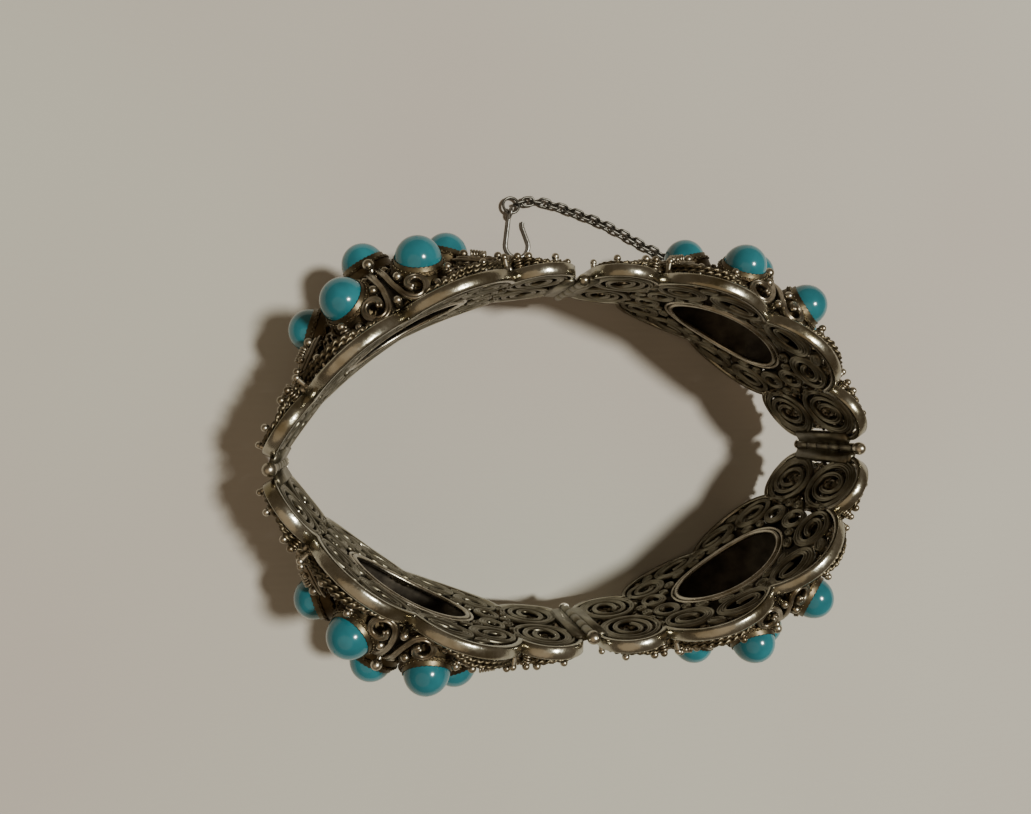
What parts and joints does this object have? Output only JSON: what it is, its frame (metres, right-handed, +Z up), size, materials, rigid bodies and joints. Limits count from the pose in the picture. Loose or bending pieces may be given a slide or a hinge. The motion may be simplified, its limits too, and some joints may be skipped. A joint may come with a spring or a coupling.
{
  "type": "hinged panel bracelet",
  "caption": "Hinged bracelet of domed silver filigree panels set with round turquoise stones, with a loose clasp pin and a fine chain with a hook.",
  "frame": {"origin": "centre of the wrist opening, at the height of the surface that the bracelet stands on", "axes": "+X from the left hinge to the right hinge, +Y towards the clasp pin, +Z up along the hinge pins"},
  "size_m": [0.0814, 0.0708, 0.0293],
  "materials": {
    "silver": "worn, oxidised in the recesses",
    "pin_silver": "worn bright",
    "dark_silver": "blackened",
    "turquoise": "polished stone"
  },
  "bodies": {
    "panel_upper_left": {"panel_ul": "silver", "stone_ul_centre": "turquoise", "stone_ul_ring1": "turquoise", "stone_ul_ring2": "turquoise", "stone_ul_ring3": "turquoise", "stone_ul_ring4": "turquoise", "stone_ul_ring5": "turquoise", "stone_ul_ring6": "turquoise"},
    "panel_upper_right": {"panel_ur": "silver", "stone_ur_centre": "turquoise", "stone_ur_ring1": "turquoise", "stone_ur_ring2": "turquoise", "stone_ur_ring3": "turquoise", "stone_ur_ring4": "turquoise", "stone_ur_ring5": "turquoise", "stone_ur_ring6": "turquoise", "hinge_pin_right": "pin_silver", "chain": "dark_silver", "jump_ring": "pin_silver", "hook": "pin_silver"},
    "panel_lower_right": {"panel_lr": "silver", "stone_lr_centre": "turquoise", "stone_lr_ring1": "turquoise", "stone_lr_ring2": "turquoise", "stone_lr_ring3": "turquoise", "stone_lr_ring4": "turquoise", "stone_lr_ring5": "turquoise", "stone_lr_ring6": "turquoise", "hinge_pin_bottom": "pin_silver"},
    "panel_lower_left": {"panel_ll": "silver", "stone_ll_centre": "turquoise", "stone_ll_ring1": "turquoise", "stone_ll_ring2": "turquoise", "stone_ll_ring3": "turquoise", "stone_ll_ring4": "turquoise", "stone_ll_ring5": "turquoise", "stone_ll_ring6": "turquoise", "hinge_pin_left": "pin_silver"},
    "clasp_pin": {"clasp_pin": "pin_silver"}
  },
  "joints": [
    {"name": "hinge_right", "type": "hinge", "parent": "panel_upper_right", "child": "panel_lower_right", "pos_m": [0.03968, 0, 0.0146], "axis": [0, 0, 1], "range_deg": [-40, 100]},
    {"name": "hinge_bottom", "type": "hinge", "parent": "panel_lower_right", "child": "panel_lower_left", "pos_m": [0, -0.02328, 0.0146], "axis": [0, 0, 1], "range_deg": [-100, 40]},
    {"name": "hinge_left", "type": "hinge", "parent": "panel_lower_left", "child": "panel_upper_left", "pos_m": [-0.03968, 0, 0.0146], "axis": [0, 0, 1], "range_deg": [-40, 100]},
    {"name": "clasp_pin_slide", "type": "slide", "parent": "panel_upper_right", "child": "clasp_pin", "axis": [0, 0, 1], "range_m": [0, 0.016]}
  ],
  "couplings": [
    {"joint": "hinge_bottom", "follows": "hinge_right", "ratio": -1},
    {"joint": "hinge_left", "follows": "hinge_right", "ratio": 1}
  ]
}
